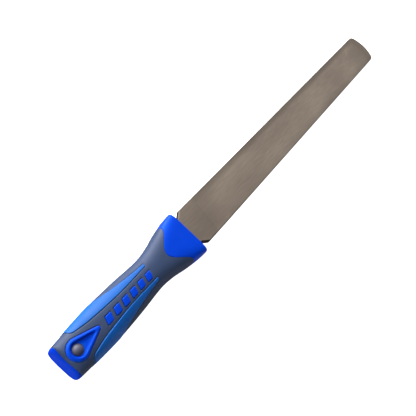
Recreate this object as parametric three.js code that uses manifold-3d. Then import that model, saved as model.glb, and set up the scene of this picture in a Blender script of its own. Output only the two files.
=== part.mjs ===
// A farrier's rasp: a long flat steel blade whose tang is driven into a two-colour moulded handle.
// Lengths are millimetres. Parts are drawn with X running from the handle's butt (X = 0) to the
// toe of the blade, Y to the left looking at the toe, and Z out of the file face. The whole group
// is then moved back by half the overall length, so that its origin is the middle of the tool.

import * as THREE from "three";
import { mergeVertices } from "three/addons/utils/BufferGeometryUtils.js";
import Module from "manifold-3d";

const wasm = await Module();
wasm.setup();

// ---- Driving dimensions ----

const HANDLE_LENGTH = 130;
const BLADE_LENGTH = 415; // from the front of the collar to the tip of the toe
const OVERALL_LENGTH = HANDLE_LENGTH + BLADE_LENGTH;

const GAP = 0.3; // clearance between neighbouring pieces
const SHELL = 2.2; // thickness of the overmoulded grip and the collar
const END_WALL = 0.8; // thickness of the cap's end
const REACH = 25; // further than the handle reaches sideways, up or down: size of the cutting prisms

const BLADE = {
  thickness: 5,
  neckHalfWidth: 12.2,
  shoulderStart: 138.2,
  shoulderEnd: 144.6,
  heelHalfWidth: 16.5,
  toeHalfWidth: 18.5,
  toeBulge: 6.5,
  cornerRadius: 3,
  edgeChamfer: 0.5,
};
const TANG = {
  root: 124,
  tip: 50,
  rootHalfWidth: 9.5,
  tipHalfWidth: 3.2,
  rootHalfThickness: 2.5,
  tipHalfThickness: 1.6,
};

// Key sections of the handle: distance from the butt, half width, half height, and the exponent
// of the superellipse (2 is an ellipse, larger is squarer).
const SECTIONS = [
  { x: 0, width: 12.4, height: 8.6, power: 3.4 },
  { x: 10, width: 13.0, height: 10.0, power: 3.2 },
  { x: 24, width: 13.9, height: 11.3, power: 2.9 },
  { x: 40, width: 14.4, height: 12.0, power: 2.5 },
  { x: 62, width: 13.9, height: 11.7, power: 2.4 },
  { x: 86, width: 12.8, height: 10.7, power: 2.5 },
  { x: 100, width: 14.2, height: 10.8, power: 2.9 },
  { x: 114, width: 17.1, height: 11.3, power: 3.9 },
  { x: HANDLE_LENGTH, width: 19.6, height: 11.8, power: 7.5 },
];
const BUTT_ROUND = { depth: 3.4, width: 2.0, height: 5.6 };
const FRONT_ROUND = 0.8;
const RING_POINTS = 40;
const STATION_STEP = 8;

// The cap's front edge is dished on each face: it reaches further forward at the handle's sides.
const CAP = { middle: 0.8, dip: 1.8, halfWidth: 16 };
// Two pegs on the cap locate it in the core; each starts inside the cap's end wall.
const PEG = { radius: 1.5, offset: 7.6, start: 0.4, end: 10 };

// The collar's rear edge is a tongue on each face: side is where it crosses the handle's sides.
const COLLAR = { side: 116.5, reach: 15, halfWidth: 18 };

const EYE = {
  centre: 9.7,
  rimRadius: 7.3,
  rimTip: 28.4,
  tipRadius: 1.4,
  dishRadius: 4.5,
  dishTip: 22.6,
  dishDepth: 0.8,
  rimHeight: 0.9,
  plugRadius: 3.7,
  plugRise: 1.2,
  domeHeight: 2.2,
};

// Side strips: the edge nearest the middle of the face, and the edge nearest the handle's side.
const STRIP = {
  inner: [[12.4, 15.5], [13.8, 10.1], [18.4, 8.4], [30, 6.7], [54, 5.3], [82.8, 5.6]],
  outer: [[83.1, 7.5], [70, 8.7], [57, 10.3], [45, 12.4], [33, 15.5]],
  rise: 0.3,
  parting: 1.2, // height above the mid-plane where a strip stops
};

// Raised slanted bars along the middle of each face.
const BARS = {
  count: 6,
  start: 32.6,
  pitch: 8.4,
  length: 5.4,
  slant: 2.2,
  low: -3.6,
  high: 1.8,
  rise: 0.5,
};

// ---- Solids from three.js geometry ----

function solid(geometry) {
  const bare = geometry.clone();
  bare.deleteAttribute("normal");
  bare.deleteAttribute("uv");
  const merged = mergeVertices(bare, 1e-4);
  const mesh = new wasm.Mesh({
    numProp: 3,
    vertProperties: merged.attributes.position.array,
    triVerts: new Uint32Array(merged.index.array),
  });
  return new wasm.Manifold(mesh);
}

function geometryOf(manifold) {
  const mesh = manifold.getMesh();
  const geometry = new THREE.BufferGeometry();
  geometry.setAttribute("position", new THREE.BufferAttribute(mesh.vertProperties, 3));
  geometry.setIndex(new THREE.BufferAttribute(mesh.triVerts, 1));
  geometry.computeVertexNormals();
  return geometry;
}

// A plan outline raised from one height to another.
function prism(shape, from, to) {
  const geometry = new THREE.ExtrudeGeometry(shape, {
    depth: to - from,
    bevelEnabled: false,
    curveSegments: 16,
  });
  return solid(geometry.translate(0, 0, from));
}

function block(low, high) {
  const size = high.map((value, axis) => value - low[axis]);
  const middle = high.map((value, axis) => (value + low[axis]) / 2);
  return solid(new THREE.BoxGeometry(...size).translate(...middle));
}

// A closed skin over rings of equal length, each running anticlockwise seen from the toe.
function loft(rings) {
  const count = rings[0].length;
  const points = rings.flat();
  const index = [];
  for (let ring = 0; ring < rings.length - 1; ring++) {
    for (let i = 0; i < count; i++) {
      const a = ring * count + i;
      const b = ring * count + ((i + 1) % count);
      index.push(a, b, a + count);
      index.push(b, b + count, a + count);
    }
  }
  const last = (rings.length - 1) * count;
  const rearCentre = points.push(centreOf(rings[0])) - 1;
  const frontCentre = points.push(centreOf(rings.at(-1))) - 1;
  for (let i = 0; i < count; i++) {
    const next = (i + 1) % count;
    index.push(rearCentre, next, i);
    index.push(frontCentre, last + i, last + next);
  }
  const geometry = new THREE.BufferGeometry().setFromPoints(points);
  geometry.setIndex(index);
  return solid(geometry);
}

function centreOf(ring) {
  const sum = ring.reduce((total, point) => total.add(point), new THREE.Vector3());
  return sum.divideScalar(ring.length);
}

// ---- The handle's outer form ----

// A smooth value through the key sections: cubic pieces, with slopes taken from the neighbours.
function profile(x, key) {
  const last = SECTIONS.length - 1;
  let k = SECTIONS.findIndex((section) => section.x > x) - 1;
  if (k < 0) k = x >= HANDLE_LENGTH ? last - 1 : 0;
  const slope = (i) => {
    const before = SECTIONS[Math.max(i - 1, 0)];
    const after = SECTIONS[Math.min(i + 1, last)];
    return (after[key] - before[key]) / (after.x - before.x);
  };
  const a = SECTIONS[k];
  const b = SECTIONS[k + 1];
  const span = b.x - a.x;
  const t = THREE.MathUtils.clamp((x - a.x) / span, 0, 1);
  const rise = 3 * t ** 2 - 2 * t ** 3;
  const leave = (t ** 3 - 2 * t ** 2 + t) * span;
  const arrive = (t ** 3 - t ** 2) * span;
  return a[key] * (1 - rise) + b[key] * rise + slope(k) * leave + slope(k + 1) * arrive;
}

function superellipseRing(x, halfWidth, halfHeight, power) {
  const ring = [];
  for (let i = 0; i < RING_POINTS; i++) {
    const angle = (i / RING_POINTS) * 2 * Math.PI;
    const across = Math.sign(Math.cos(angle)) * Math.abs(Math.cos(angle)) ** (2 / power);
    const up = Math.sign(Math.sin(angle)) * Math.abs(Math.sin(angle)) ** (2 / power);
    ring.push(new THREE.Vector3(x, across * halfWidth, up * halfHeight));
  }
  return ring;
}

// The handle's whole form, inset all round (negative stands proud) and by its own depth at the butt.
function handleForm(inset, buttInset = inset) {
  const section = (x, lessWidth, lessHeight) =>
    superellipseRing(
      x,
      profile(x, "width") - inset - lessWidth,
      profile(x, "height") - inset - lessHeight,
      profile(x, "power"),
    );
  const round = {
    depth: BUTT_ROUND.depth - inset / 2,
    width: Math.max(BUTT_ROUND.width - inset, 0.8),
    height: BUTT_ROUND.height - inset,
  };
  const rings = [];
  const roundSteps = 6;
  for (let i = 0; i <= roundSteps; i++) {
    const angle = (i / roundSteps) * (Math.PI / 2);
    const x = buttInset + round.depth * (1 - Math.cos(angle));
    const left = 1 - Math.sin(angle);
    rings.push(section(x, round.width * left, round.height * left));
  }
  const start = buttInset + round.depth;
  const end = HANDLE_LENGTH - inset - FRONT_ROUND;
  const steps = Math.round((end - start) / STATION_STEP);
  for (let i = 1; i <= steps; i++) {
    rings.push(section(start + ((end - start) * i) / steps, 0, 0));
  }
  for (const angle of [Math.PI / 4, Math.PI / 2]) {
    const less = FRONT_ROUND * (1 - Math.cos(angle));
    rings.push(section(end + FRONT_ROUND * Math.sin(angle), less, less));
  }
  return loft(rings);
}

// ---- Plan outlines ----

// A round end about the eye's centre that narrows to a small rounded point.
function teardrop(radius, tip) {
  const tipRadius = (EYE.tipRadius * radius) / EYE.rimRadius;
  const tipCentre = tip - tipRadius;
  const tangent = Math.acos((radius - tipRadius) / (tipCentre - EYE.centre));
  const shape = new THREE.Shape();
  shape.absarc(tipCentre, 0, tipRadius, -tangent, tangent, false);
  shape.absarc(EYE.centre, 0, radius, tangent, 2 * Math.PI - tangent, false);
  return shape;
}

function circle(x, y, radius) {
  return new THREE.Shape().absarc(x, y, radius, 0, 2 * Math.PI, false);
}

// Everything behind the dished front edge of the cap, moved forward by a margin.
function capOutline(margin) {
  const steps = 16;
  const points = [new THREE.Vector2(-REACH, CAP.halfWidth), new THREE.Vector2(-REACH, -CAP.halfWidth)];
  for (let i = 0; i <= steps; i++) {
    const across = (2 * i) / steps - 1;
    points.push(new THREE.Vector2(CAP.middle + CAP.dip * across ** 2 + margin, CAP.halfWidth * across));
  }
  return new THREE.Shape(points);
}

// Everything ahead of the tongue-shaped rear edge of the collar, moved back by a margin.
function collarOutline(margin) {
  const wide = 2 * COLLAR.halfWidth;
  const steps = 20;
  const points = [new THREE.Vector2(OVERALL_LENGTH, -wide)];
  points.push(new THREE.Vector2(OVERALL_LENGTH, wide));
  points.push(new THREE.Vector2(COLLAR.side - margin, wide));
  for (let i = steps; i >= 0; i--) {
    const y = COLLAR.halfWidth * ((2 * i) / steps - 1);
    const bulge = Math.cos((Math.PI / 2) * (y / COLLAR.halfWidth)) ** 2;
    points.push(new THREE.Vector2(COLLAR.side - COLLAR.reach * bulge - margin, y));
  }
  points.push(new THREE.Vector2(COLLAR.side - margin, -wide));
  return new THREE.Shape(points);
}

function stripOutline(margin) {
  const edge = (points, side) =>
    new THREE.SplineCurve(points.map(([x, y]) => new THREE.Vector2(x, y + side * margin)));
  const inner = edge(STRIP.inner, -1).getPoints(20);
  const outer = edge(STRIP.outer, 1).getPoints(14);
  inner.at(-1).x += margin;
  outer[0].x += margin;
  inner[0].x -= margin;
  return new THREE.Shape([...inner, ...outer]);
}

function barOutline(index, margin) {
  const x = BARS.start + index * BARS.pitch;
  const low = BARS.low - margin;
  const high = BARS.high + margin;
  return new THREE.Shape([
    new THREE.Vector2(x - margin, low),
    new THREE.Vector2(x + BARS.length + margin, low),
    new THREE.Vector2(x + BARS.length + BARS.slant + margin, high),
    new THREE.Vector2(x + BARS.slant - margin, high),
  ]);
}

// ---- Steel ----

function rectangleRing(x, halfWidth, halfThickness) {
  return [[1, -1], [1, 1], [-1, 1], [-1, -1]].map(
    ([across, up]) => new THREE.Vector3(x, across * halfWidth, up * halfThickness),
  );
}

function tang(margin) {
  return loft([
    rectangleRing(TANG.tip - margin, TANG.tipHalfWidth + margin, TANG.tipHalfThickness + margin),
    rectangleRing(TANG.root + 2, TANG.rootHalfWidth + margin, TANG.rootHalfThickness + margin),
  ]);
}

// Plan of the blade: narrow neck, two sloped shoulders, edges that widen gently to the toe, and a
// toe that is one arc with rounded corners.
function bladeOutline() {
  const { toeHalfWidth, toeBulge, cornerRadius } = BLADE;
  const toeRadius = (toeHalfWidth ** 2 + toeBulge ** 2) / (2 * toeBulge);
  const toeCentre = OVERALL_LENGTH - toeRadius;
  const toeAngle = Math.asin((toeHalfWidth - cornerRadius) / toeRadius);
  const corner = OVERALL_LENGTH - toeBulge;
  const shape = new THREE.Shape();
  shape.moveTo(TANG.root, -BLADE.neckHalfWidth);
  shape.lineTo(BLADE.shoulderStart, -BLADE.neckHalfWidth);
  shape.lineTo(BLADE.shoulderEnd, -BLADE.heelHalfWidth);
  shape.lineTo(corner - cornerRadius, -toeHalfWidth);
  shape.quadraticCurveTo(
    corner,
    -toeHalfWidth,
    toeCentre + toeRadius * Math.cos(toeAngle),
    -toeRadius * Math.sin(toeAngle),
  );
  shape.absarc(toeCentre, 0, toeRadius, -toeAngle, toeAngle, false);
  shape.quadraticCurveTo(corner, toeHalfWidth, corner - cornerRadius, toeHalfWidth);
  shape.lineTo(BLADE.shoulderEnd, BLADE.heelHalfWidth);
  shape.lineTo(BLADE.shoulderStart, BLADE.neckHalfWidth);
  shape.lineTo(TANG.root, BLADE.neckHalfWidth);
  shape.closePath();
  return shape;
}

function blade() {
  const chamfer = BLADE.edgeChamfer;
  const plate = new THREE.ExtrudeGeometry(bladeOutline(), {
    depth: BLADE.thickness - 2 * chamfer,
    bevelEnabled: true,
    bevelThickness: chamfer,
    bevelSize: chamfer,
    bevelOffset: -chamfer,
    bevelSegments: 1,
    curveSegments: 24,
  });
  plate.translate(0, 0, chamfer - BLADE.thickness / 2);
  return solid(plate).add(tang(0));
}

// ---- Handle ----

// The slot that lets the blade's neck into the collar and the core.
function neckSlot(from, to) {
  const halfWidth = BLADE.neckHalfWidth + GAP;
  const halfThickness = BLADE.thickness / 2 + GAP;
  return block([from, -halfWidth, -halfThickness], [to, halfWidth, halfThickness]);
}

function pegs(margin) {
  const radius = PEG.radius + margin;
  const end = PEG.end + margin;
  const peg = new THREE.CylinderGeometry(radius, radius, end - PEG.start, 16);
  peg.rotateZ(Math.PI / 2).translate((end + PEG.start) / 2, 0, 0);
  return [-PEG.offset, PEG.offset].map((y) => solid(peg.clone().translate(0, y, 0)));
}

function eyeHole() {
  return prism(circle(EYE.centre, 0, EYE.plugRadius + GAP), -REACH, REACH);
}

function core() {
  const form = handleForm(SHELL + GAP, END_WALL + GAP);
  const slot = neckSlot(TANG.root - GAP, HANDLE_LENGTH);
  const cuts = [tang(GAP), slot, eyeHole(), ...pegs(GAP)];
  return cuts.reduce((body, cut) => body.subtract(cut), form);
}

// The mouldings' outer layer, standing proud of the handle's form by a given height.
function shell(proud = 0) {
  return handleForm(-proud).subtract(handleForm(SHELL, END_WALL));
}

function collar() {
  const ahead = prism(collarOutline(0), -REACH, REACH);
  return shell().intersect(ahead).subtract(neckSlot(HANDLE_LENGTH / 2, OVERALL_LENGTH));
}

function cap() {
  const plate = shell().intersect(prism(capOutline(0), -REACH, REACH));
  return pegs(0).reduce((body, peg) => body.add(peg), plate);
}

// The raised teardrop rim around the eye, with a shallow dish inside it.
function bezel() {
  const rim = shell(EYE.rimHeight).intersect(prism(teardrop(EYE.rimRadius, EYE.rimTip), 0, REACH));
  const above = prism(teardrop(EYE.dishRadius, EYE.dishTip), 0, REACH);
  const dish = above.subtract(handleForm(EYE.dishDepth));
  return rim.subtract(dish).subtract(eyeHole());
}

// A column of grip compound right through the eye, domed at both faces.
function plugGeometry() {
  const top = profile(EYE.centre, "height") + EYE.plugRise;
  const domeRadius = (EYE.plugRadius ** 2 + EYE.domeHeight ** 2) / (2 * EYE.domeHeight);
  const sweep = Math.asin(EYE.plugRadius / domeRadius);
  const steps = 5;
  const dome = [];
  for (let i = 0; i <= steps; i++) {
    const angle = (sweep * i) / steps;
    const fall = domeRadius * (1 - Math.cos(angle));
    dome.push(new THREE.Vector2(domeRadius * Math.sin(angle), top - fall));
  }
  const under = dome.map(({ x, y }) => new THREE.Vector2(x, -y));
  const geometry = new THREE.LatheGeometry([...under, ...dome.reverse()], 28);
  return geometry.rotateX(Math.PI / 2).translate(EYE.centre, 0, 0);
}

function strip() {
  return shell(STRIP.rise).intersect(prism(stripOutline(0), STRIP.parting, REACH));
}

function bar(index) {
  return shell(BARS.rise).intersect(prism(barOutline(index, 0), 0, REACH));
}

// Both faces and both sides carry the same windows, so each cut is mirrored across.
function mirrored(body, axes) {
  return axes.reduce((bodies, axis) => bodies.concat(bodies.map((one) => one.mirror(axis))), [body]);
}

function grip() {
  const underGrip = 2 * SHELL; // height of a level inside the core, below the grip on both faces
  const window = (shape, from) => prism(shape, from, REACH);
  const rimWindow = teardrop(EYE.rimRadius + GAP, EYE.rimTip + GAP);
  const cuts = [
    prism(capOutline(GAP), -REACH, REACH),
    prism(collarOutline(GAP), -REACH, REACH),
    ...mirrored(window(rimWindow, underGrip), [[0, 0, 1]]),
    ...mirrored(window(stripOutline(GAP), STRIP.parting - GAP), [[0, 1, 0], [0, 0, 1]]),
  ];
  for (let i = 0; i < BARS.count; i++) {
    cuts.push(...mirrored(window(barOutline(i, GAP), underGrip), [[0, 0, 1]]));
  }
  return cuts.reduce((body, cut) => body.subtract(cut), shell());
}

// ---- Materials and assembly ----

function material(color, roughness, metalness) {
  return new THREE.MeshStandardMaterial({ color, roughness, metalness });
}

const steel = () => material(0x8b8078, 0.42, 0.9);
const hardBlue = () => material(0x0b45d6, 0.35, 0);
const stripBlue = () => material(0x3f7fd2, 0.6, 0);
const softGrey = () => material(0x4a5270, 0.75, 0);
const coreBlue = () => material(0x1237a8, 0.5, 0);

const tool = new THREE.Group();
tool.name = "farrier_rasp";
tool.position.x = -OVERALL_LENGTH / 2;

function place(name, geometry, finish, side = [1, 1]) {
  const mesh = new THREE.Mesh(geometry, finish);
  mesh.name = name;
  mesh.scale.set(1, ...side);
  tool.add(mesh);
}

place("rasp_blade", geometryOf(blade()), steel());
place("handle_core", geometryOf(core()), coreBlue());
place("soft_grip", geometryOf(grip()), softGrey());
place("front_collar", geometryOf(collar()), hardBlue());
place("butt_cap", geometryOf(cap()), hardBlue());
place("eye_plug", plugGeometry(), softGrey());

const faces = { file: 1, rasp: -1 };
const hands = { left: 1, right: -1 };
const bezelGeometry = geometryOf(bezel());
const stripGeometry = geometryOf(strip());
for (const [face, up] of Object.entries(faces)) {
  place(`eye_bezel_${face}_side`, bezelGeometry, hardBlue(), [1, up]);
  for (const [hand, across] of Object.entries(hands)) {
    place(`grip_strip_${face}_${hand}`, stripGeometry, stripBlue(), [across, up]);
  }
}
for (let i = 0; i < BARS.count; i++) {
  const barGeometry = geometryOf(bar(i));
  for (const [face, up] of Object.entries(faces)) {
    place(`mark_bar_${face}_${i + 1}`, barGeometry, hardBlue(), [1, up]);
  }
}

export default tool;
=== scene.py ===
# The farrier rasp's looks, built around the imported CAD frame.
import math

import bpy
import numpy as np
from mathutils import Matrix, Vector
from mathutils.kdtree import KDTree


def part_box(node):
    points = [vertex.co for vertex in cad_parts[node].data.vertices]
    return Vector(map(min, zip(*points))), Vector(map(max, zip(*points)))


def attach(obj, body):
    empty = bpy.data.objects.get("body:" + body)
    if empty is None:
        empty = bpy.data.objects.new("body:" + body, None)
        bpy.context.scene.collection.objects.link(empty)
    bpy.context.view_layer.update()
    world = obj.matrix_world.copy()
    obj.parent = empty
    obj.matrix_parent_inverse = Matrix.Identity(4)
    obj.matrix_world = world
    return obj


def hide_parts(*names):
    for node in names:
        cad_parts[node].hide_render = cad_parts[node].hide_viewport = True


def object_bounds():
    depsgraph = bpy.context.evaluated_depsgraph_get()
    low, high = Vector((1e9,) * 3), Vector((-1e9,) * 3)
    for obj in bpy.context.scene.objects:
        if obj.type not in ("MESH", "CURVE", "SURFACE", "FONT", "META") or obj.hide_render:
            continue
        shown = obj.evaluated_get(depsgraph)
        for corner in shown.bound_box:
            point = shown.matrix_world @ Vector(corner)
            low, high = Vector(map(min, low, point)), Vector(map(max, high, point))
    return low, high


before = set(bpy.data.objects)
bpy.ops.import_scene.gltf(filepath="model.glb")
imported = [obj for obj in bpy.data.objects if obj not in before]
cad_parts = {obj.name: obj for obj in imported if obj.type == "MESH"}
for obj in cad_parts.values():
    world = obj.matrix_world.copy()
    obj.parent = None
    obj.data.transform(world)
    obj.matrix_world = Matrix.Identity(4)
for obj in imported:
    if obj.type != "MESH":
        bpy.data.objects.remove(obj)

MM = 0.001
cad_low, cad_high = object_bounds()

# ---- Dimensions, in millimetres from the middle of the butt, X to the toe ----

LENGTH = (cad_high.x - cad_low.x) / MM
HANDLE_LENGTH = (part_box("front_collar")[1].x - cad_low.x) / MM
SHELL = 2.2  # thickness of the grip and the collar
INLAY = 0.9  # how deep the trim is let into the grip
FLOOR_DEPTH = 1.0  # depth of the windows in the grip that hold the trim
SEAM = 0.05  # half the clearance between neighbouring mouldings
LIP = 0.35  # radius of the rounded edges along every seam
TRIM_LIP = 0.45  # radius of the rounded edges of the strips and bars
CREASE_DEPTH, CREASE_WIDTH = 0.35, 0.8  # how the grip falls away towards each window
SNAP = 0.2  # mesh points of the grip this near a window's edge are moved onto it

# Key sections of the handle: distance from the butt, half width, half height, superellipse power.
SECTIONS = np.array([
    (0, 12.4, 8.6, 3.4),
    (10, 13.0, 10.0, 3.2),
    (24, 13.9, 11.3, 2.9),
    (40, 14.4, 12.0, 2.5),
    (62, 13.9, 11.7, 2.4),
    (86, 12.8, 10.7, 2.5),
    (100, 14.2, 10.8, 2.9),
    (114, 17.1, 11.3, 3.9),
    (130, 19.6, 11.8, 7.5),
])
WIDTH, HEIGHT, POWER = 1, 2, 3
BUTT_ROUND_DEPTH, BUTT_ROUND_WIDTH, BUTT_ROUND_HEIGHT = 3.4, 2.0, 5.6
FRONT_ROUND = 0.8
COLLAR_INSET = 0.01  # keeps the rounded collar just inside its CAD solid
FACE_HEIGHT = 4.0  # whatever is higher than this over the middle plane is on a face, not on a side
GIRTH = 85.0  # roughly the way around the handle

# The cap's front edge in plan: where it crosses the middle, and how far it leads at the sides.
CAP_MIDDLE, CAP_DIP, CAP_HALF_WIDTH = 0.95, 1.8, 16.0
CAP_WALL = 0.4 * SHELL
# The collar's rear edge in plan: where it is at the sides, and how far its tongue reaches back.
COLLAR_SIDE, COLLAR_REACH, COLLAR_HALF_WIDTH = 116.5, 15.0, 18.0

EYE_X = 9.7
EYE_RIM_RADIUS, EYE_RIM_TIP, EYE_TIP_RADIUS = 7.3, 28.4, 1.4
EYE_PLUG_RADIUS, EYE_PLUG_RISE, EYE_DOME_HEIGHT = 3.7, 1.2, 2.2
EYE_PLUG_GAP = 0.06  # between the plug and its rim
EYE_DISH_FALL = 0.4  # how far the rim's dish falls towards the plug
EYE_RIM_FOOT = -INLAY - 0.4  # height of the rim's underside over the handle's surface

# The strips' edges in plan, nearer the middle and nearer the side: X and Y.
STRIP_INNER = [(12.4, 15.5), (13.8, 10.1), (18.4, 8.4), (30, 6.7), (54, 5.3), (83, 5.6)]
STRIP_OUTER = [(33, 15.5), (45, 12.4), (57, 10.3), (70, 8.7), (83, 7.5)]
STRIP_START, STRIP_END = 12.95, 83.0
STRIP_RISE, STRIP_PARTING = 0.25, 1.3
STRIP_START_GAP, STRIP_END_GAP = 0.3, 0.08  # between a strip's ends and its window's
DOT_PITCH, DOT_HEIGHT = 1.0, 0.12
DOT_BORDER, DOT_FADE = 0.8, 0.4  # the plain border of a strip, and where the dots rise from it

BAR_COUNT, BAR_START, BAR_PITCH, BAR_LENGTH, BAR_SLANT = 6, 32.6, 8.4, 5.4, 2.2
BAR_LOW, BAR_HIGH, BAR_RISE, BAR_CORNER = -3.6, 1.8, 0.45, 0.7
BAR_GAP = 0.02  # gap between a bar and its window, as a share of the bar

BLADE_HALF_THICKNESS = 2.5
BLADE_NECK, BLADE_HEEL, BLADE_TOE = 12.2, 16.5, 18.5  # half widths
SHOULDER_START, SHOULDER_END = 138.2, 144.6
TOE_BULGE, TOE_CORNER = 6.5, 3.0
EDGE_CHAMFER = 0.8
TANG_TIP, TANG_ROOT = 50.0, 124.0
TANG_TIP_WIDTH, TANG_ROOT_WIDTH, TANG_TIP_THICKNESS = 3.2, 9.5, 1.6  # halves
SLOT_GAP, SLOT_ROUND, SLOT_POWER = 0.2, 0.5, 14  # around the blade's neck, where it leaves the collar

# The cuts in the blade. The file face has straight slanted rows, the rasp face staggered teeth.
ROW_STEP = 0.3
FILE_DEPTH = 0.12
FILE_CURVE = np.array([0.0, -0.35, -0.75, -1.0])  # one tooth in steps of a row, crest first
CUT_SLANT = 0.47  # rows lean towards the toe by this much for each millimetre to the left
RASP_DEPTH = 0.65
RASP_PITCH_X, RASP_PITCH_Y = 5.2, 4.4
NICK_ROWS, NICK_DEPTH = 3, 0.12  # the rough narrow sides
FILE_COLUMNS = np.array([1, 0.97, 0.65, 0.3, 0, -0.3, -0.65, -0.97, -1])
RASP_COLUMNS = np.linspace(-1, 1, 55)

# The camera: how far it stands from the middle of the butt in millimetres, and its angles in degrees.
CAMERA_BEHIND, CAMERA_ABOVE, CAMERA_LEFT = 124.1, 320.3, 1.7
CAMERA_PITCH, CAMERA_ROLL, CAMERA_VIEW = 47.54, 43.38, 41.28

# The studio light: where it comes from, and its brightness from straight behind it to its middle.
LIGHT_FROM = (0.1, 0.94, 0.32)
LIGHT_BEHIND, LIGHT_PEAK = 0.15, 16.0
LIGHT_LEVELS = [(0.5, 0.3), (0.75, 0.75), (0.9, 5.0)]
LIGHT_COLOUR = (1.0, 0.97, 0.97, 1)
BACKDROP = 1.03  # brightness of the plain surround behind the floor
# The pale floor glows a little, like a light table, and mirrors only faintly in glossy surfaces.
FLOOR_COLOUR, FLOOR_MIRRORED, FLOOR_GLOW = (0.8, 0.8, 0.8), (0.1, 0.1, 0.1), 1.2


# ---- The handle's form ----

def profile(x, column):
    """A smooth value through the key sections, as the CAD part makes it."""
    at, value = SECTIONS[:, 0], SECTIONS[:, column]
    slope = np.empty_like(value)
    slope[1:-1] = (value[2:] - value[:-2]) / (at[2:] - at[:-2])
    slope[0] = (value[1] - value[0]) / (at[1] - at[0])
    slope[-1] = (value[-1] - value[-2]) / (at[-1] - at[-2])
    k = np.clip(np.searchsorted(at, x, side="right") - 1, 0, len(at) - 2)
    span = at[k + 1] - at[k]
    t = np.clip((x - at[k]) / span, 0, 1)
    rise = 3 * t**2 - 2 * t**3
    leave = (t**3 - 2 * t**2 + t) * span
    arrive = (t**3 - t**2) * span
    return value[k] * (1 - rise) + value[k + 1] * rise + slope[k] * leave + slope[k + 1] * arrive


def half_sizes(x):
    """Half width, half height and power at x, with the rounded butt."""
    left = np.clip((BUTT_ROUND_DEPTH - x) / BUTT_ROUND_DEPTH, 0, 1)
    lost = 1 - np.sqrt(1 - left**2)
    width = profile(x, WIDTH) - BUTT_ROUND_WIDTH * lost
    height = profile(x, HEIGHT) - BUTT_ROUND_HEIGHT * lost
    return width, height, profile(x, POWER)


def section(width, height, power, around):
    """Points and outward normals of a superellipse, spaced evenly along its length.

    around runs from 0 at +Y through 0.25 at +Z."""
    polar = np.linspace(0, 2 * math.pi, 1441)
    cosine, sine = np.cos(polar), np.sin(polar)
    radius = (np.abs(cosine / width) ** power + np.abs(sine / height) ** power) ** (-1 / power)
    y, z = radius * cosine, radius * sine
    length = np.concatenate([[0], np.cumsum(np.hypot(np.diff(y), np.diff(z)))])
    at = np.mod(around, 1) * length[-1]
    y, z = np.interp(at, length, y), np.interp(at, length, z)
    normal_y = np.sign(y) * np.abs(y / width) ** (power - 1) / width
    normal_z = np.sign(z) * np.abs(z / height) ** (power - 1) / height
    size = np.hypot(normal_y, normal_z)
    return np.stack([y, z, normal_y / size, normal_z / size])


# The surface as a table of sections, closer together over the rounded butt.
TABLE_STEP = 0.25
TABLE_X = np.concatenate([
    BUTT_ROUND_DEPTH * (1 - np.cos(np.linspace(0, math.pi / 2, 41))),
    np.arange(BUTT_ROUND_DEPTH + TABLE_STEP, HANDLE_LENGTH + TABLE_STEP, TABLE_STEP),
])
TABLE_AROUND = np.linspace(0, 1, 721)
TABLE = np.array([section(*half_sizes(x), TABLE_AROUND) for x in TABLE_X])
TABLE[:, :, -1] = TABLE[:, :, 0]


def form(x, around, out=0.0):
    """Points of the handle's surface at x and around it, moved outwards by out."""
    x, around, out = np.broadcast_arrays(x, around, out)
    row = np.clip(np.interp(x, TABLE_X, np.arange(len(TABLE_X))), 0, len(TABLE_X) - 1.001)
    column = np.mod(around, 1) * (len(TABLE_AROUND) - 1)
    r, c = row.astype(int), np.minimum(column.astype(int), len(TABLE_AROUND) - 2)
    fr, fc = row - r, column - c

    def corner(i, j):
        """The table's values i rows and j columns on from each point's own."""
        return np.moveaxis(TABLE[r + i, :, c + j], -1, 0)

    y, z, normal_y, normal_z = (
        corner(0, 0) * (1 - fr) * (1 - fc) + corner(1, 0) * fr * (1 - fc)
        + corner(0, 1) * (1 - fr) * fc + corner(1, 1) * fr * fc
    )
    return np.stack([x, y + out * normal_y, z + out * normal_z], axis=-1)


def top_height(x, y):
    """Height of the handle's upper surface over a point of the plan."""
    width, height, power = half_sizes(x)
    inside = np.clip(np.abs(y) / width, 0, 0.9999)
    return height * (1 - inside**power) ** (1 / power)


def lip(distance, radius=LIP):
    """How far a rounded edge has fallen at a distance from the edge line."""
    short = np.clip(radius - distance, 0, radius)
    return radius - np.sqrt(radius**2 - short**2)


LIP_STEPS = LIP * np.array([0, 0.15, 0.4, 0.7, 1.0])  # distances from a seam that follow its rounded edge
LIP_ROWS = len(LIP_STEPS)


# ---- Meshes ----

def halved(faces, height, least=0.02):
    """Splits each uneven four-sided face along the diagonal whose ends are nearer in height."""
    level = height[faces]
    across = np.abs(level[:, 0] - level[:, 2]) > np.abs(level[:, 1] - level[:, 3])
    uneven = np.ptp(level, axis=1) > least
    even = faces[~uneven].tolist()
    one_way = faces[uneven & ~across]
    other_way = faces[uneven & across]
    return even + np.concatenate([
        one_way[:, [0, 1, 2]], one_way[:, [0, 2, 3]], other_way[:, [0, 1, 3]], other_way[:, [1, 2, 3]],
    ]).tolist()


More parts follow.
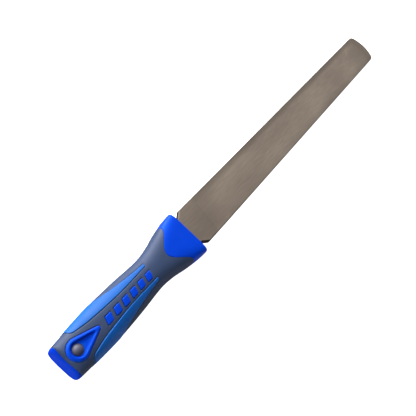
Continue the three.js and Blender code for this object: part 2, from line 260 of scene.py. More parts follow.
def skin(name, rings, finish, closed=False, flip=False, sharp=35, height=None):
    """A closed surface over rings of points, each anticlockwise seen from where the rings go.

    closed joins the last ring to the first, flip turns the faces of a mirrored piece back out, sharp is
    the angle that shows as an edge, and height is what halved() goes by."""
    rings = np.asarray(rings, float)
    steps, count = rings.shape[:2]
    index = np.arange(steps * count).reshape(steps, count)
    walk = np.vstack([index, index[:1]]) if closed else index
    a, d = walk[:-1], walk[1:]
    b, c = np.roll(a, -1, axis=1), np.roll(d, -1, axis=1)
    faces = np.stack([a, b, c, d], axis=-1).reshape(-1, 4)
    faces = faces.tolist() if height is None else halved(faces, height.ravel())
    if not closed:
        faces += [index[0][::-1].tolist(), index[-1].tolist()]
    if flip:
        faces = [face[::-1] for face in faces]
    points = rings.reshape(-1, 3) * MM + np.array([cad_low.x, 0, 0])
    mesh = bpy.data.meshes.new(name)
    mesh.from_pydata(points.tolist(), [], faces)
    mesh.polygons.foreach_set("use_smooth", [True] * len(mesh.polygons))
    mesh.set_sharp_from_angle(angle=math.radians(sharp))
    piece = bpy.data.objects.new(name, mesh)
    bpy.context.scene.collection.objects.link(piece)
    mesh.materials.append(finish)
    return piece


def declare(piece, slot, *nodes):
    """Hangs the piece under the root body and hides the CAD nodes it stands for; slot is not used."""
    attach(piece, "root")
    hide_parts(*nodes)
    return piece


# ---- Materials ----

def linear(red, green, blue):
    """An sRGB colour of 0 to 255 as the linear values that shaders take."""
    parts = np.array([red, green, blue]) / 255
    return tuple(np.where(parts <= 0.04045, parts / 12.92, ((parts + 0.055) / 1.055) ** 2.4))


def new_material(name, roughness, metallic=0.0, gloss=0.5):
    """A new material, its node tree and its shader."""
    material = bpy.data.materials.new(name)
    material.use_nodes = True
    shader = material.node_tree.nodes["Principled BSDF"]
    shader.inputs["Roughness"].default_value = roughness
    shader.inputs["Metallic"].default_value = metallic
    shader.inputs["Specular IOR Level"].default_value = gloss
    return material, material.node_tree, shader


def grain(tree, scale, stretch=(1, 1, 1), detail=3.0):
    """Noise over the piece; scale is in cycles a metre."""
    place = tree.nodes.new("ShaderNodeTexCoord")
    mapping = tree.nodes.new("ShaderNodeMapping")
    mapping.inputs["Scale"].default_value = stretch
    noise = tree.nodes.new("ShaderNodeTexNoise")
    noise.inputs["Scale"].default_value = scale
    noise.inputs["Detail"].default_value = detail
    tree.links.new(place.outputs["Object"], mapping.inputs["Vector"])
    tree.links.new(mapping.outputs["Vector"], noise.inputs["Vector"])
    return noise.outputs["Fac"]


def spread(tree, factor, low, high, start=0.3, end=0.7):
    """Stretches a factor's middle range over low to high."""
    node = tree.nodes.new("ShaderNodeMapRange")
    node.inputs["From Min"].default_value = start
    node.inputs["From Max"].default_value = end
    node.inputs["To Min"].default_value = low
    node.inputs["To Max"].default_value = high
    tree.links.new(factor, node.inputs["Value"])
    return node.outputs["Result"]


def blend(tree, factor, first, second):
    """Mixes two colours, each a tuple or a socket."""
    node = tree.nodes.new("ShaderNodeMix")
    node.data_type = "RGBA"
    tree.links.new(factor, node.inputs["Factor"])
    for key, colour in (("A", first), ("B", second)):
        socket = next(s for s in node.inputs if s.name == key and s.type == "RGBA")
        if isinstance(colour, tuple):
            socket.default_value = (*colour, 1)
        else:
            tree.links.new(colour, socket)
    return next(s for s in node.outputs if s.type == "RGBA")


def worn_edges(tree, start=0.52, end=0.60):
    """1 on convex edges, 0 elsewhere."""
    geometry = tree.nodes.new("ShaderNodeNewGeometry")
    return spread(tree, geometry.outputs["Pointiness"], 0, 1, start, end)


def add_bump(tree, shader, height, strength, depth):
    """Relief of the surface; depth is in metres."""
    node = tree.nodes.new("ShaderNodeBump")
    node.inputs["Strength"].default_value = strength
    node.inputs["Distance"].default_value = depth
    tree.links.new(height, node.inputs["Height"])
    tree.links.new(node.outputs["Normal"], shader.inputs["Normal"])


def steel(name, dark, light, roughness):
    """Drawn steel: faint clouds, and streaks along the blade in its colour, roughness and relief."""
    material, tree, shader = new_material(name, roughness, 0.85)
    clouds = spread(tree, grain(tree, 14, (1, 2.5, 1)), 0, 1)
    drawn = spread(tree, grain(tree, 900, (0.08, 1, 1), 4), 0, 1)
    colour = blend(tree, clouds, dark, light)
    streaked = blend(tree, spread(tree, drawn, 0, 0.22, 0, 1), colour, linear(96, 88, 78))
    tree.links.new(streaked, shader.inputs["Base Color"])
    uneven = spread(tree, drawn, roughness - 0.06, roughness + 0.08, 0, 1)
    tree.links.new(uneven, shader.inputs["Roughness"])
    add_bump(tree, shader, drawn, 0.25, 0.00004)
    return material


def plastic(name, colour, worn, roughness, grain_depth, gloss, tint=(1, 1, 1)):
    """Moulded plastic: slightly mottled, paler where its edges are worn, with a fine grain."""
    material, tree, shader = new_material(name, roughness, gloss=gloss)
    shader.inputs["Specular Tint"].default_value = (*tint, 1)
    shade = spread(tree, grain(tree, 45), 0, 0.18)
    deep = tuple(0.72 * part for part in colour)
    base = blend(tree, shade, colour, deep)
    edged = blend(tree, spread(tree, worn_edges(tree), 0, 0.35, 0, 1), base, worn)
    tree.links.new(edged, shader.inputs["Base Color"])
    fine = grain(tree, 2600, detail=2)
    uneven = spread(tree, grain(tree, 160), roughness - 0.05, roughness + 0.07)
    tree.links.new(uneven, shader.inputs["Roughness"])
    add_bump(tree, shader, fine, 0.3, grain_depth)
    return material


STEEL = steel("file_cut_steel", linear(120, 110, 100), linear(138, 128, 116), 0.5)
# A darker copy of the steel for the blade's narrow sides: painted shade along its edges.
SIDE_SHADE_STEEL = steel("side_steel_painted_shade", linear(46, 42, 38), linear(66, 60, 54), 0.45)
HARD_BLUE = plastic(
    "hard_blue_plastic", colour=(0.0, 0.032, 0.45), worn=(0.0, 0.11, 0.6),
    roughness=0.42, grain_depth=0.00002, gloss=0.17, tint=(0.2, 1, 0.9),
)
# The cap's plastic: a less glossy copy of the hard blue, made darker as painted shade on the end face.
SHADED_CAP_BLUE = plastic(
    "satin_blue_plastic_painted_shade", colour=(0.0, 0.026, 0.38), worn=(0.0, 0.1, 0.6),
    roughness=0.5, grain_depth=0.00003, gloss=0.01,
)
STRIP_BLUE = plastic(
    "dotted_strip_plastic", colour=(0.0, 0.078, 0.33), worn=(0.0, 0.14, 0.44),
    roughness=0.5, grain_depth=0.00003, gloss=0.2,
)
SOFT_GREY = plastic(
    "soft_touch_grip", colour=(0.022, 0.04, 0.092), worn=(0.07, 0.1, 0.16),
    roughness=0.5, grain_depth=0.00006, gloss=0.25,
)
EYE_GREY = plastic(
    "eye_plug_compound", colour=(0.06, 0.064, 0.1), worn=(0.12, 0.12, 0.16),
    roughness=0.45, grain_depth=0.00004, gloss=0.35,
)


# ---- The grip sleeve and what is let into it ----

def search_tree(points):
    """A tree that finds the nearest of the points."""
    tree = KDTree(len(points))
    for number, point in enumerate(points):
        tree.insert(point, number)
    tree.balance()
    return tree


def collar_line(y):
    """X of the collar's tongue-shaped rear edge over a point of the plan."""
    inside = np.clip(np.abs(y) / COLLAR_HALF_WIDTH, 0, 1)
    return COLLAR_SIDE - COLLAR_REACH * np.cos(math.pi / 2 * inside) ** 2


def cap_line(y):
    """X of the cap's dished front edge over a point of the plan."""
    return CAP_MIDDLE + CAP_DIP * (y / CAP_HALF_WIDTH) ** 2


def edge_around(line, start, around):
    """X of an edge, drawn in plan, at each place around the handle."""
    x = np.full_like(around, start)
    for _ in range(60):
        x = 0.5 * x + 0.5 * line(form(x, around)[..., 1])
    return x


def teardrop(angle, radius, tip):
    """Distance from the eye's centre to a teardrop outline, in each direction."""
    tip_radius = EYE_TIP_RADIUS * radius / EYE_RIM_RADIUS
    reach = tip - tip_radius - EYE_X
    tangent = math.acos((radius - tip_radius) / reach)
    point = math.atan2(tip_radius * math.sin(tangent), reach + tip_radius * math.cos(tangent))
    turn = np.abs(angle)
    straight = radius / np.cos(np.clip(tangent - turn, 0, None))
    off_line = np.clip(tip_radius**2 - (reach * np.sin(turn)) ** 2, 0, None)
    rounded = reach * np.cos(turn) + np.sqrt(off_line)
    return np.where(turn < point, rounded, straight)


def even_directions(count):
    """Directions from the eye's centre that space points evenly along the teardrop."""
    angle = np.linspace(-math.pi, math.pi, 4001)
    reach = teardrop(angle, EYE_RIM_RADIUS, EYE_RIM_TIP)
    x, y = reach * np.cos(angle), reach * np.sin(angle)
    length = np.concatenate([[0], np.cumsum(np.hypot(np.diff(x), np.diff(y)))])
    return np.interp(np.linspace(0, length[-1], count, endpoint=False), length, angle)


def spline(points):
    """X and Y along a uniform Catmull-Rom curve through points, as the CAD part draws it."""
    points = np.array(points, float)
    before = points[np.maximum(np.arange(len(points)) - 1, 0)]
    after = points[np.minimum(np.arange(len(points)) + 1, len(points) - 1)]
    slope = (after - before) / 2
    t = np.linspace(0, 1, 60)[:, None]
    rise = 3 * t**2 - 2 * t**3
    leave = t**3 - 2 * t**2 + t
    arrive = t**3 - t**2
    runs = [
        points[k] * (1 - rise) + points[k + 1] * rise + slope[k] * leave + slope[k + 1] * arrive
        for k in range(len(points) - 1)
    ]
    return np.concatenate(runs).T


QUARTER = np.linspace(0, 0.25, 181)


def around_at(x, y_limit, z_limit):
    """The first place around from +Y where y is under y_limit and z over z_limit."""
    points = form(x, QUARTER)
    by_y = np.interp(-y_limit, -points[:, 1], QUARTER)
    by_z = np.interp(z_limit, points[:, 2], QUARTER)
    return max(by_y, by_z)


STRIP_X = np.unique(np.concatenate([
    STRIP_START + 3 * np.linspace(0, 1, 22) ** 1.5,
    np.linspace(STRIP_START + 3, STRIP_END, 290),
]))
STRIP_NEAR_SIDE = np.array([
    around_at(x, y, STRIP_PARTING) for x, y in zip(STRIP_X, np.interp(STRIP_X, *spline(STRIP_OUTER)))
])
STRIP_NEAR_MIDDLE = np.array([
    around_at(x, y, STRIP_PARTING) for x, y in zip(STRIP_X, np.interp(STRIP_X, *spline(STRIP_INNER)))
])


def strip_outline():
    """The strip's edge as points on the handle's surface."""
    side = form(STRIP_X, STRIP_NEAR_SIDE)
    middle = form(STRIP_X, STRIP_NEAR_MIDDLE)
    ends = np.linspace(0, 1, 40)
    start = form(STRIP_X[0], STRIP_NEAR_SIDE[0] * (1 - ends) + STRIP_NEAR_MIDDLE[0] * ends)
    finish = form(STRIP_X[-1], STRIP_NEAR_SIDE[-1] * (1 - ends) + STRIP_NEAR_MIDDLE[-1] * ends)
    return np.concatenate([densely(side), densely(middle), start, finish])


def densely(line, step=0.12):
    """More points along a line of points."""
    length = np.concatenate([[0], np.cumsum(np.linalg.norm(np.diff(line, axis=0), axis=1))])
    at = np.arange(0, length[-1], step)
    return np.stack([np.interp(at, length, line[:, k]) for k in range(3)], axis=-1)


def bar_plan(index, along, across):
    """Plan position in a bar: along and across run from 0 to 1, the corners are rounded."""
    y = BAR_LOW + (BAR_HIGH - BAR_LOW) * across
    x = BAR_START + index * BAR_PITCH + BAR_LENGTH * along
    return x + BAR_SLANT * across, y


def bar_outline(index):
    """A bar's edge as points on the handle's surface."""
    side = np.linspace(0, 1, 50)
    one, none = np.ones_like(side), np.zeros_like(side)
    runs = [(side, none), (side, one), (none, side), (one, side)]
    plans = [bar_plan(index, along, across) for along, across in runs]
    x, y = (np.concatenate(parts) for parts in zip(*plans))
    return np.stack([x, y, top_height(x, y)], axis=-1)


def rim_outline():
    """The eye rim's edge as points on the handle's surface."""
    angle = even_directions(500)
    reach = teardrop(angle, EYE_RIM_RADIUS, EYE_RIM_TIP)
    x, y = EYE_X + reach * np.cos(angle), reach * np.sin(angle)
    return np.stack([x, y, top_height(x, y)], axis=-1)


def in_a_window(points, around):
    """True where the grip is cut away for a strip, a bar or an eye rim."""
    x, y, z = points[..., 0], points[..., 1], points[..., 2]
    turn = np.mod(around, 1)
    quarter = np.abs(np.mod(turn + 0.25, 0.5) - 0.25)
    strip = (x > STRIP_START) & (x < STRIP_END)
    strip &= quarter > np.interp(x, STRIP_X, STRIP_NEAR_SIDE)
    strip &= quarter < np.interp(x, STRIP_X, STRIP_NEAR_MIDDLE)
    across = (y - BAR_LOW) / (BAR_HIGH - BAR_LOW)
    along = x - BAR_START - BAR_SLANT * across
    bar = (np.mod(along, BAR_PITCH) < BAR_LENGTH) & (along > 0) & (along < BAR_COUNT * BAR_PITCH)
    bar &= (across > 0) & (across < 1) & (np.abs(z) > FACE_HEIGHT)
    angle = np.arctan2(y, x - EYE_X)
    rim = np.hypot(x - EYE_X, y) < teardrop(angle, EYE_RIM_RADIUS, EYE_RIM_TIP)
    return strip | bar | (rim & (np.abs(z) > FACE_HEIGHT))


def window_lines():
    """Points along every window's edge, on both faces and both sides."""
    on_one_face = [rim_outline()] + [bar_outline(index) for index in range(BAR_COUNT)]
    strip = strip_outline()
    lines = [line * (1, 1, up) for line in on_one_face for up in (1, -1)]
    lines += [strip * (1, across, up) for across in (1, -1) for up in (1, -1)]
    return np.concatenate(lines)


def make_grip():
    """The soft sleeve. Its windows are pressed in as deep as their floor, with creased edges."""
    columns = 280
    around = np.arange(columns) / columns
    first = edge_around(cap_line, CAP_MIDDLE, around) + SEAM
    last = edge_around(collar_line, COLLAR_SIDE, around) - SEAM
    steps = np.linspace(0, 1, 282)[1:-1, None]
    x = np.concatenate([
        first + LIP_STEPS[:, None],
        (first + LIP) * (1 - steps) + (last - LIP) * steps,
        last - LIP_STEPS[::-1, None],
    ])
    turn = np.broadcast_to(around, x.shape)
    surface = form(x, turn)
    edges = window_lines()
    tree = search_tree(edges)
    found = [tree.find(point) for point in surface.reshape(-1, 3)]
    distance = np.array([hit[2] for hit in found]).reshape(x.shape)
    nearest = edges[[hit[1] for hit in found]].reshape(surface.shape)
    inside = in_a_window(surface, turn)
    snap = distance < SNAP
    crease = CREASE_DEPTH * np.clip(1 - distance / CREASE_WIDTH, 0, 1) ** 2
    out = np.where(snap, -CREASE_DEPTH, np.where(inside, -FLOOR_DEPTH, -crease))
    out[:LIP_ROWS] = np.minimum(out[:LIP_ROWS], -lip(LIP_STEPS)[:, None])
    out[-LIP_ROWS:] = np.minimum(out[-LIP_ROWS:], -lip(LIP_STEPS[::-1])[:, None])
    outer = form(x, turn, out)
    outer[..., :2] += np.where(snap[..., None], (nearest - surface)[..., :2], 0)
    inner_x = np.linspace(last, first, 14)
    inner = form(inner_x, np.broadcast_to(around, inner_x.shape), -SHELL)
    height = np.concatenate([out, np.full(inner_x.shape, -SHELL)])
    rings = np.concatenate([outer, inner])
    piece = skin("grip_sleeve", rings, SOFT_GREY, closed=True, height=height)
    return declare(piece, "soft_grip", "soft_grip")


def make_collar():
    """The flared collar: outside, rounded front edge, front face, the blade's slot and the inside."""
    around = np.arange(280) / 280
    rear = edge_around(collar_line, COLLAR_SIDE, around) + SEAM
    front = HANDLE_LENGTH
    steps = np.linspace(0, 1, 30)[1:, None]
    x = np.concatenate([
        rear + LIP_STEPS[:, None],
        (rear + LIP) * (1 - steps) + (front - FRONT_ROUND) * steps,
    ])
    out = np.zeros_like(x)
    out[:LIP_ROWS] = -lip(LIP_STEPS)[:, None]
    rings = list(form(x, np.broadcast_to(around, x.shape), out - COLLAR_INSET))
    for angle in np.radians([15, 30, 45, 60, 75, 90]):
        drop = FRONT_ROUND * (1 - math.cos(angle))
        at = front - FRONT_ROUND * (1 - math.sin(angle))
        rings.append(form(at, around, -drop - COLLAR_INSET))

    def slot_ring(x, grow):
        """The slot's outline at x, larger than the slot by grow all round."""
        width, height = BLADE_NECK + SLOT_GAP + grow, BLADE_HALF_THICKNESS + SLOT_GAP + grow
        y, z = section(width, height, SLOT_POWER, around)[:2]
        return np.stack([np.full_like(y, x), y, z], axis=-1)

    rim = rings[-1]
    for share in (0.25, 0.5, 0.75):
        rings.append(rim * (1 - share) + slot_ring(front, SLOT_ROUND) * share)
    for angle in np.radians([0, 30, 60, 90]):
        at = front - SLOT_ROUND * (1 - math.cos(angle))
        rings.append(slot_ring(at, SLOT_ROUND * (1 - math.sin(angle))))
    wall = front - SHELL
    rings.append(slot_ring(wall, 0))
    for share in np.linspace(0, 1, 8):
        rings.append(form(wall * (1 - share) + rear * share, around, -SHELL))
    return declare(skin("collar_moulding", rings, HARD_BLUE, closed=True), "hard_blue", "front_collar")


def make_cap():
    """The end cap: its end face, its rounded edge, the seam with the grip and a hollow inside."""
    around = np.arange(240) / 240
    seam = edge_around(cap_line, CAP_MIDDLE, around) - SEAM
    end_face = form(0, around)
    rings = [end_face * (1, scale, scale) for scale in (0.02, 0.3, 0.6, 0.85)]
    full = np.arccos(1 - (seam - LIP) / BUTT_ROUND_DEPTH)
    for share in np.linspace(0, 1, 18):
        rings.append(form(BUTT_ROUND_DEPTH * (1 - np.cos(full * share)), around))
    for distance in LIP_STEPS[-2::-1]:
        rings.append(form(seam - distance, around, -lip(distance)))
    rings.append(form(seam, around, -CAP_WALL))
    inside = form(CAP_MIDDLE - SEAM, around, -CAP_WALL)
    rings += [inside * (1, scale, scale) for scale in (1, 0.8, 0.5, 0.02)]
    return declare(skin("cap_moulding", rings, SHADED_CAP_BLUE), "hard_blue", "butt_cap")


def make_rim(face, up):
    """The raised teardrop rim, its rounded crest and the dish that falls to the plug."""
    angle = even_directions(180)
    # Radius of the round end, X of the point, and height over the handle's surface.
    crest = [
        (7.25, 28.35, EYE_RIM_FOOT), (7.25, 28.35, 0.05), (7.12, 28.1, 0.28), (6.85, 27.5, 0.5),
        (6.5, 26.8, 0.7), (6.1, 26.0, 0.84), (5.7, 25.3, 0.9), (5.35, 24.6, 0.88), (5.05, 24.0, 0.74),
        (4.82, 23.5, 0.48), (4.65, 23.0, 0.1), (4.52, 22.6, -0.4),
    ]
    rings = []
    for radius, tip, rise in crest:
        rings.append((teardrop(angle, radius, tip), rise))
    lip_reach, lip_rise = rings[-1]
    hole = EYE_PLUG_RADIUS + EYE_PLUG_GAP
    for share in (0.1, 0.25, 0.45, 0.7, 1.0):
        reach = lip_reach * (1 - share) + hole * share
        rings.append((reach, lip_rise - EYE_DISH_FALL * math.sin(math.pi / 2 * share)))
    rings.append((np.full_like(angle, hole), EYE_RIM_FOOT))
    points = []
    for reach, rise in rings:
        x, y = EYE_X + reach * np.cos(angle), reach * np.sin(angle)
        points.append(np.stack([x, y, (top_height(x, y) + rise)], axis=-1))
    rings = np.array(points) * (1, 1, up)
    piece = skin(f"eye_rim_{face}", rings, HARD_BLUE, closed=True, flip=up < 0, sharp=60)
    return declare(piece, "hard_blue", f"eye_bezel_{face}_side")


def make_plug():
    """The plug of grip compound right through the eye, domed at both faces."""
    columns = 72
    turn = np.arange(columns) / columns * 2 * math.pi
    top = float(half_sizes(EYE_X)[1]) + EYE_PLUG_RISE
    dome_radius = (EYE_PLUG_RADIUS**2 + EYE_DOME_HEIGHT**2) / (2 * EYE_DOME_HEIGHT)
    sweep = math.asin(EYE_PLUG_RADIUS / dome_radius)
    dome = [
        (dome_radius * math.sin(angle), top - dome_radius * (1 - math.cos(angle)))
        for angle in np.linspace(sweep, 0.01, 16)
    ]
    outline = [(radius, -z) for radius, z in reversed(dome)] + dome
    rings = [
        np.stack([EYE_X + radius * np.cos(turn), radius * np.sin(turn), np.full(columns, z)], axis=-1)
        for radius, z in outline
    ]
    return declare(skin("eye_dome", rings, EYE_GREY), "soft_grip", "eye_plug")


def make_strip(face, up, hand, across):
    """A dotted strip: rows across it, each a closed loop of its surface and its underside."""
    share = np.linspace(0, 1, 41)
    tree = search_tree(strip_outline())
    x = np.clip(STRIP_X, STRIP_START + STRIP_START_GAP, STRIP_END - STRIP_END_GAP)[:, None]
    side = np.interp(x[:, 0], STRIP_X, STRIP_NEAR_SIDE)[:, None]
    middle = np.interp(x[:, 0], STRIP_X, STRIP_NEAR_MIDDLE)[:, None]
    turn = side * (1 - share) + middle * share
    surface = form(np.broadcast_to(x, turn.shape), turn)
    distance = np.array([tree.find(point)[2] for point in surface.reshape(-1, 3)])
    distance = distance.reshape(turn.shape)
    wave = np.sin(2 * math.pi * x / DOT_PITCH) * np.sin(2 * math.pi * turn * GIRTH / DOT_PITCH)
    dots = DOT_HEIGHT * np.clip(wave, 0, 1) * np.clip((distance - DOT_BORDER) / DOT_FADE, 0, 1)
    out = STRIP_RISE - lip(distance, TRIM_LIP) + dots
    rows = form(np.broadcast_to(x, turn.shape), turn, out)
    under = form(np.broadcast_to(x, (len(x), 2)), np.concatenate([middle, side], axis=1), -INLAY)
    rings = np.concatenate([rows, under], axis=1) * (1, across, up)
    piece = skin(f"strip_{face}_{hand}", rings, STRIP_BLUE, flip=across * up < 0, sharp=60)
    return declare(piece, "strip_blue", f"grip_strip_{face}_{hand}")


def make_bar(face, up, index):
    """A slanted bar with rounded corners: rows along it, each a closed loop."""
    corner = BAR_CORNER / BAR_LENGTH
    ends = corner * (1 - np.cos(np.linspace(0, math.pi / 2, 7)))
    along = np.concatenate([ends, np.linspace(corner, 1 - corner, 14)[1:-1], 1 - ends[::-1]])
    share = np.linspace(0, 1, 17)
    share = 0.5 - 0.5 * np.cos(math.pi * share)
    width, fill = BAR_HIGH - BAR_LOW, 1 - 2 * BAR_GAP
    rings = []
    for step in along:
        from_end = min(step, 1 - step) * BAR_LENGTH
        narrow = lip(from_end, BAR_CORNER) / width
        across = narrow + (1 - 2 * narrow) * share
        x, y = bar_plan(index, BAR_GAP + fill * step, BAR_GAP + fill * across)
        from_side = np.minimum(across - narrow, 1 - narrow - across) * width
        z = top_height(x, y) + BAR_RISE - lip(np.minimum(from_side, from_end), TRIM_LIP)
        top = np.stack([x, y, z], axis=-1)[::-1]
        ends_x, ends_y = x[[0, -1]], y[[0, -1]]
        under = np.stack([ends_x, ends_y, top_height(ends_x, ends_y) - INLAY], axis=-1)
        rings.append(np.concatenate([top, under]))
    rings = np.array(rings) * (1, 1, up)
    piece = skin(f"mark_{face}_{index + 1}", rings, HARD_BLUE, flip=up < 0, sharp=60)
    return declare(piece, "hard_blue", f"mark_bar_{face}_{index + 1}")


# ---- The blade ----

def blade_rows():
    """X of each cross-section and the outline's half width there."""
    toe_radius = (BLADE_TOE**2 + TOE_BULGE**2) / (2 * TOE_BULGE)
    centre = LENGTH - toe_radius
    arc_edge = np.arange(BLADE_TOE - TOE_CORNER, 0.6, -0.5)
    arc_x = centre + np.sqrt(toe_radius**2 - arc_edge**2)
    turn = np.linspace(0, 1, 12)[:-1]
    start_x = LENGTH - TOE_BULGE - TOE_CORNER
    before, middle, after = (1 - turn) ** 2, 2 * turn * (1 - turn), turn**2
    corner_x = before * start_x + middle * (start_x + TOE_CORNER) + after * arc_x[0]
    corner_edge = (1 - after) * BLADE_TOE + after * arc_edge[0]
    tang_x = np.linspace(TANG_TIP, TANG_ROOT - 0.05, 12)
    tang_edge = np.interp(tang_x, [TANG_TIP, TANG_ROOT], [TANG_TIP_WIDTH, TANG_ROOT_WIDTH])
    neck_x = np.concatenate([[TANG_ROOT], np.arange(126, SHOULDER_START, 1.0)])
    neck_edge = np.full_like(neck_x, BLADE_NECK)
    shoulder_x = np.linspace(SHOULDER_START, SHOULDER_END, 12)
    shoulder_edge = np.linspace(BLADE_NECK, BLADE_HEEL, 12)
    body_x = np.arange(SHOULDER_END + ROW_STEP, start_x, ROW_STEP)
    body_edge = np.interp(body_x, [SHOULDER_END, start_x], [BLADE_HEEL, BLADE_TOE])
    x = np.concatenate([tang_x, neck_x, shoulder_x, body_x, corner_x, arc_x])
    edge = np.concatenate([tang_edge, neck_edge, shoulder_edge, body_edge, corner_edge, arc_edge])
    return x, edge


def rasp_teeth(x, y):
    """Depth of the coarse side below its tooth points: staggered rows of pointed teeth."""
    row = np.floor(x / RASP_PITCH_X)
    along = x / RASP_PITCH_X - row
    place = y / RASP_PITCH_Y + 0.5 * np.mod(row, 2)
    across = np.abs(place - np.round(place)) * 2
    point = np.clip(1 - across / 0.62, 0, 1)
    rise = np.clip(along / 0.55, 0, 1) * np.clip((0.72 - along) / 0.12, 0, 1)
    pit = np.clip(1 - np.abs(along - 0.82) / 0.14, 0, 1) * np.clip(1 - across / 0.5, 0, 1)
    return np.clip(point * 1.25 * rise, 0, 1) - 0.35 * pit


def ramp(x, start, end):
    """Rises from 0 at start to 1 at end, whichever of them comes first along x."""
    return np.clip((x - start) / (end - start), 0, 1)


def make_blade():
    """The forged blade with its tang: cross-sections with a file face, a rasp face and rough sides."""
    x, edge = (column[:, None] for column in blade_rows())
    rows = len(x)
    half = np.interp(x, [TANG_TIP, TANG_ROOT - 0.05], [TANG_TIP_THICKNESS, BLADE_HALF_THICKNESS])
    chamfer = np.minimum(EDGE_CHAMFER, 0.3 * edge)
    slant = CUT_SLANT * ramp(x, SHOULDER_END + 2, SHOULDER_END + 40) * ramp(x, LENGTH - 12, LENGTH - 50)
    cut = ramp(x, SHOULDER_END + 14, SHOULDER_END + 16) * ramp(x, LENGTH - 13, LENGTH - 15)
    nicks = np.mod(np.arange(rows) // NICK_ROWS, 2)[:, None] * NICK_DEPTH * cut

    def points(y, z):
        """Points of every cross-section, which lean with the rows of teeth."""
        return np.stack([x + slant * y, y, z], axis=-1)

    def wall(sign):
        """The narrow side: a chamfer, three rows of nicked side, and a chamfer."""
        z = (half - chamfer) * np.array([1, 0.35, -0.35, -1])
        y = sign * (edge - nicks * np.array([0, 1, 1, 0]))
        return points(y[:, ::-sign], z[:, ::-sign])

    file_y = (edge - chamfer) * FILE_COLUMNS
    tooth = FILE_CURVE[np.arange(rows) % len(FILE_CURVE)][:, None] * cut
    file_land = np.clip((edge - np.abs(file_y) - 0.9) / 0.3, 0, 1)
    file_face = points(file_y, half + FILE_DEPTH * tooth * file_land)
    rasp_y = (edge - chamfer) * RASP_COLUMNS
    rasp_land = np.clip((edge - np.abs(rasp_y) - 1.6) / 0.8, 0, 1)
    teeth = rasp_teeth(x + slant * rasp_y, rasp_y) * rasp_land * cut
    rasp_face = points(rasp_y, -half + RASP_DEPTH * (cut * rasp_land - teeth))
    rings = np.concatenate([file_face, wall(-1), rasp_face, wall(1)], axis=1)
    piece = skin("cut_blade", rings, STEEL, sharp=22)
    # The narrow sides take the darker steel, which paints shade along the blade's edges.
    piece.data.materials.append(SIDE_SHADE_STEEL)
    side = len(FILE_COLUMNS) - 1
    on_side = np.zeros(rings.shape[1], bool)
    on_side[side:side + 5] = True
    on_side[-5:] = True
    painted_shade_faces = np.concatenate([np.tile(on_side, rows - 1), [True, True]])
    piece.data.polygons.foreach_set("material_index", painted_shade_faces.astype(int))
    return declare(piece, "blade_steel", "rasp_blade")


# ---- Camera, floor and lights ----

def make_camera():
    """Close behind the butt and above it, rolled so that the tool lies across the picture."""
    pitch, roll = math.radians(CAMERA_PITCH), math.radians(CAMERA_ROLL)
    up_tool = Vector((math.sin(pitch), 0, math.cos(pitch)))
    left_tool = Vector((0, 1, 0))
    right = math.sin(roll) * up_tool - math.cos(roll) * left_tool
    up = math.cos(roll) * up_tool + math.sin(roll) * left_tool
    back = right.cross(up)
    camera = bpy.data.objects.new("camera", bpy.data.cameras.new("camera"))
    bpy.context.scene.collection.objects.link(camera)
    turn = Matrix((right, up, back)).transposed().to_4x4()
    place = (cad_low.x - CAMERA_BEHIND * MM, CAMERA_LEFT * MM, CAMERA_ABOVE * MM)
    camera.matrix_world = Matrix.Translation(place) @ turn
    camera.data.angle = math.radians(CAMERA_VIEW)
    camera.data.clip_start = 0.01
    bpy.context.scene.camera = camera


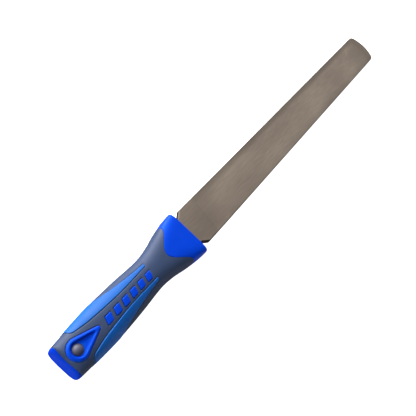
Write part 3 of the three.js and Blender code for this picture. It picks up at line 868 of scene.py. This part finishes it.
def make_floor():
    """A pale table: the tool rests on the collar's underside and on the toe."""
    collar_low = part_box("front_collar")[0].z
    rest_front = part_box("front_collar")[1].x - FRONT_ROUND * MM
    toe_x = cad_high.x - TOE_BULGE * MM
    toe_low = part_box("rasp_blade")[0].z
    slope = (toe_low - collar_low) / (toe_x - rest_front)
    size, gap = 6.0, 0.0002
    corners = [
        (x, y, collar_low + (x - rest_front) * slope - gap)
        for x, y in ((-size, -size), (size, -size), (size, size), (-size, size))
    ]
    mesh = bpy.data.meshes.new("floor")
    mesh.from_pydata(corners, [], [(0, 1, 2, 3)])
    floor = bpy.data.objects.new("floor", mesh)
    bpy.context.scene.collection.objects.link(floor)
    material, tree, shader = new_material("pale_floor", 0.9)
    mirrored = tree.nodes.new("ShaderNodeLightPath").outputs["Is Glossy Ray"]
    tree.links.new(blend(tree, mirrored, FLOOR_COLOUR, FLOOR_MIRRORED), shader.inputs["Base Color"])
    tree.links.new(spread(tree, mirrored, FLOOR_GLOW, 0, 0, 1), shader.inputs["Emission Strength"])
    shader.inputs["Emission Color"].default_value = (1, 1, 1, 1)
    mesh.materials.append(material)


def make_light():
    """A studio surround: a broad soft light low on the tool's left, falling off to the right."""
    world = bpy.data.worlds.new("studio")
    world.use_nodes = True
    tree = world.node_tree
    place = tree.nodes.new("ShaderNodeTexCoord")
    facing = tree.nodes.new("ShaderNodeVectorMath")
    facing.operation = "DOT_PRODUCT"
    facing.inputs[1].default_value = Vector(LIGHT_FROM).normalized()
    tree.links.new(place.outputs["Generated"], facing.inputs[0])
    falloff = tree.nodes.new("ShaderNodeFloatCurve")
    curve = falloff.mapping.curves[0]
    # The curve keeps to 0 to 1, so brightness goes in as a share of the peak.
    curve.points[0].location = (0, LIGHT_BEHIND / LIGHT_PEAK)
    curve.points[1].location = (1, 1)
    for at, level in LIGHT_LEVELS:
        curve.points.new(at, level / LIGHT_PEAK)
    falloff.mapping.update()
    tree.links.new(spread(tree, facing.outputs["Value"], 0, 1, -1, 1), falloff.inputs["Value"])
    seen = tree.nodes.new("ShaderNodeMix")
    tree.links.new(tree.nodes.new("ShaderNodeLightPath").outputs["Is Camera Ray"], seen.inputs["Factor"])
    tree.links.new(spread(tree, falloff.outputs["Value"], 0, LIGHT_PEAK, 0, 1), seen.inputs["A"])
    seen.inputs["B"].default_value = BACKDROP
    tree.links.new(seen.outputs["Result"], tree.nodes["Background"].inputs["Strength"])
    tree.nodes["Background"].inputs["Color"].default_value = LIGHT_COLOUR
    bpy.context.scene.world = world
    bpy.context.scene.view_settings.view_transform = "Standard"


# ---- Making everything ----

make_camera()
make_blade()
make_grip()
make_collar()
make_cap()
make_plug()
for face, up in (("file", 1), ("rasp", -1)):
    make_rim(face, up)
    for hand, across in (("left", 1), ("right", -1)):
        make_strip(face, up, hand, across)
    for index in range(BAR_COUNT):
        make_bar(face, up, index)
core_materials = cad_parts["handle_core"].data.materials
core_materials.clear()
core_materials.append(HARD_BLUE)
make_floor()
make_light()
